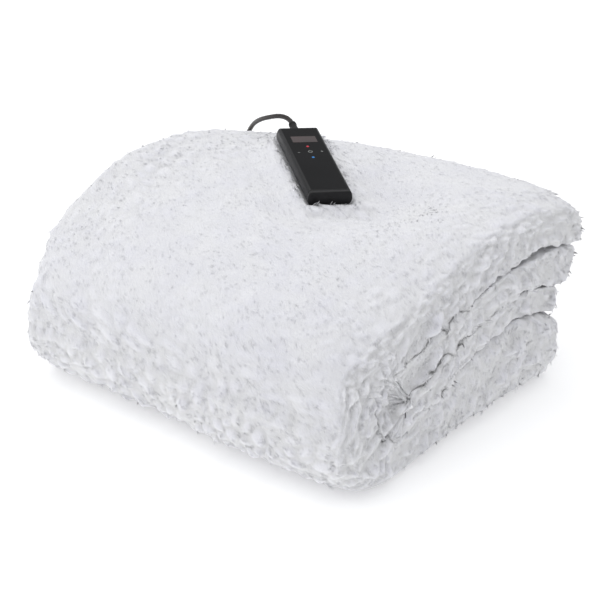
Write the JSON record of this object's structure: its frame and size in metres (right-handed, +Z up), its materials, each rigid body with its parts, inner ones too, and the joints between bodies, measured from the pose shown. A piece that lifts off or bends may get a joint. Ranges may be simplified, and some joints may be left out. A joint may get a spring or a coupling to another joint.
{
  "type": "massage table warmer",
  "caption": "Thick fleece heating pad for a massage table, folded up for storage, with its slim hand controller resting on top and the mains lead coiled behind it.",
  "frame": {"origin": "centre of the folded pad's footprint, on the surface that it rests on", "axes": "+X from the wrapped fold towards the open edges, +Y along the wrapped fold towards the lead's coil, +Z up"},
  "size_m": [0.4274, 0.5921, 0.2226],
  "materials": {
    "fleece": "deep brushed pile, matt",
    "case_plastic": "smooth, satin to gloss",
    "window_plastic": "clear over a grey display",
    "heat_light": "red lens",
    "power_light": "blue lens",
    "relief_rubber": "matt moulded rubber",
    "lead_rubber": "smooth, slightly shiny sheath",
    "plug_plastic": "moulded, matt",
    "blade_brass": "plain stamped metal"
  },
  "bodies": {
    "root": {"fleece_pad": "fleece", "controller_case": "case_plastic", "controller_end_cap": "case_plastic", "display_window": "window_plastic", "heat_light": "heat_light", "power_light": "power_light", "strain_relief": "relief_rubber", "lead": "lead_rubber", "lead_coil": "lead_rubber", "lead_tail": "lead_rubber", "plug_body": "plug_plastic", "plug_blade_left": "blade_brass", "plug_blade_right": "blade_brass"}
  },
  "joints": []
}
